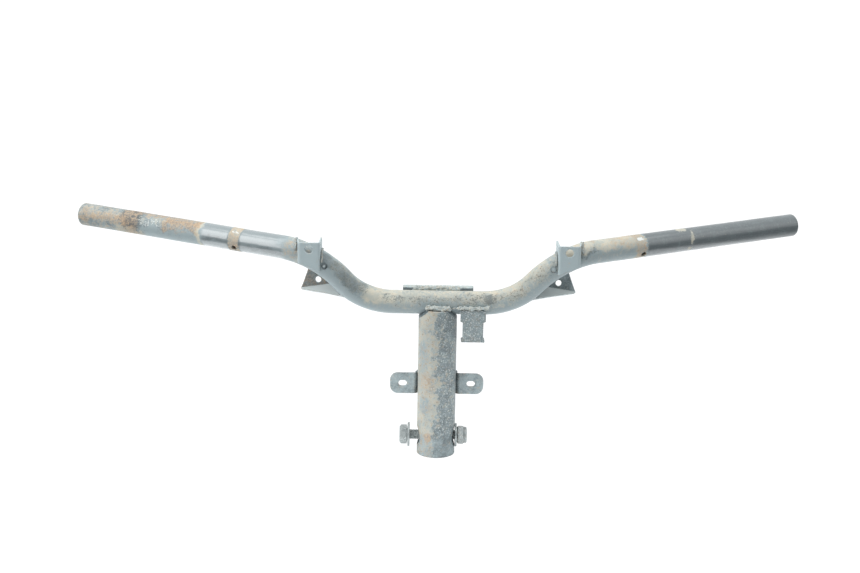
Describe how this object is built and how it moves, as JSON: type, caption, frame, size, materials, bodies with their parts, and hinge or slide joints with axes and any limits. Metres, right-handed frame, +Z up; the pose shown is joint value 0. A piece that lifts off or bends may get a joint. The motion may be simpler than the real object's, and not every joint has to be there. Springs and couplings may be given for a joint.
{
  "type": "scooter handlebar",
  "caption": "Bent steel scooter handlebar on a short clamping stem, with welded cover brackets, a slotted ear strap, a hanging cable tab and a loose clamp bolt with lock nut",
  "frame": {"origin": "the centre of the stem's lower end, where the steering column enters", "axes": "+Z up along the stem, +X along the bar to the side of the cable tab, -Y to the front; the grips sweep back to +Y"},
  "size_m": [0.7222, 0.1291, 0.2248],
  "materials": {
    "worn_tube_paint": "black paint worn to grey and dusty tan with rust patches; semi-matt",
    "bracket_paint": "thin blue-grey worn black paint with rusty edges; semi-matt",
    "weld_bead": "rippled weld metal under worn paint, with rust",
    "zinc_plate": "dull zinc plating, slightly stained"
  },
  "bodies": {
    "frame": {"handlebar_tube": "worn_tube_paint", "stem_tube": "worn_tube_paint", "centre_plate": "bracket_paint", "cable_tab": "bracket_paint", "stem_ear_strap": "bracket_paint", "upper_bracket_left": "bracket_paint", "upper_bracket_right": "bracket_paint", "lower_bracket_left": "bracket_paint", "lower_bracket_right": "bracket_paint", "plug_weld_left": "weld_bead", "plug_weld_right": "weld_bead", "weld_stem_front": "weld_bead", "weld_stem_rear": "weld_bead", "weld_centre_plate": "weld_bead", "weld_cable_tab": "weld_bead", "weld_upper_bracket_left_inner": "weld_bead", "weld_upper_bracket_left_outer": "weld_bead", "weld_upper_bracket_right_inner": "weld_bead", "weld_upper_bracket_right_outer": "weld_bead", "weld_lower_bracket_left": "weld_bead", "weld_lower_bracket_right": "weld_bead", "weld_ear_strap_left": "weld_bead", "weld_ear_strap_right": "weld_bead"},
    "bolt_washer": {"clamp_bolt_washer": "zinc_plate"},
    "bolt": {"clamp_bolt": "zinc_plate"},
    "nut_washer": {"clamp_nut_washer": "zinc_plate"},
    "nut": {"clamp_nut": "zinc_plate"}
  },
  "joints": [
    {"name": "bolt_travel", "type": "slide", "parent": "frame", "child": "bolt_washer", "axis": [1, 0, 0], "range_m": [-0.002, 0.0068]},
    {"name": "bolt_turn", "type": "hinge", "parent": "bolt_washer", "child": "bolt", "pos_m": [-0.0277, 0, 0.0178], "axis": [1, 0, 0], "range_deg": [-480, 1632]},
    {"name": "nut_travel", "type": "slide", "parent": "frame", "child": "nut_washer", "axis": [1, 0, 0], "range_m": [0, 0.004]},
    {"name": "nut_turn", "type": "hinge", "parent": "nut_washer", "child": "nut", "pos_m": [0.0205, 0, 0.0178], "axis": [1, 0, 0], "range_deg": [0, 960]}
  ],
  "couplings": [
    {"joint": "bolt_turn", "follows": "bolt_travel", "rad_per_m": 4188.8},
    {"joint": "nut_turn", "follows": "nut_travel", "rad_per_m": 4188.8}
  ]
}
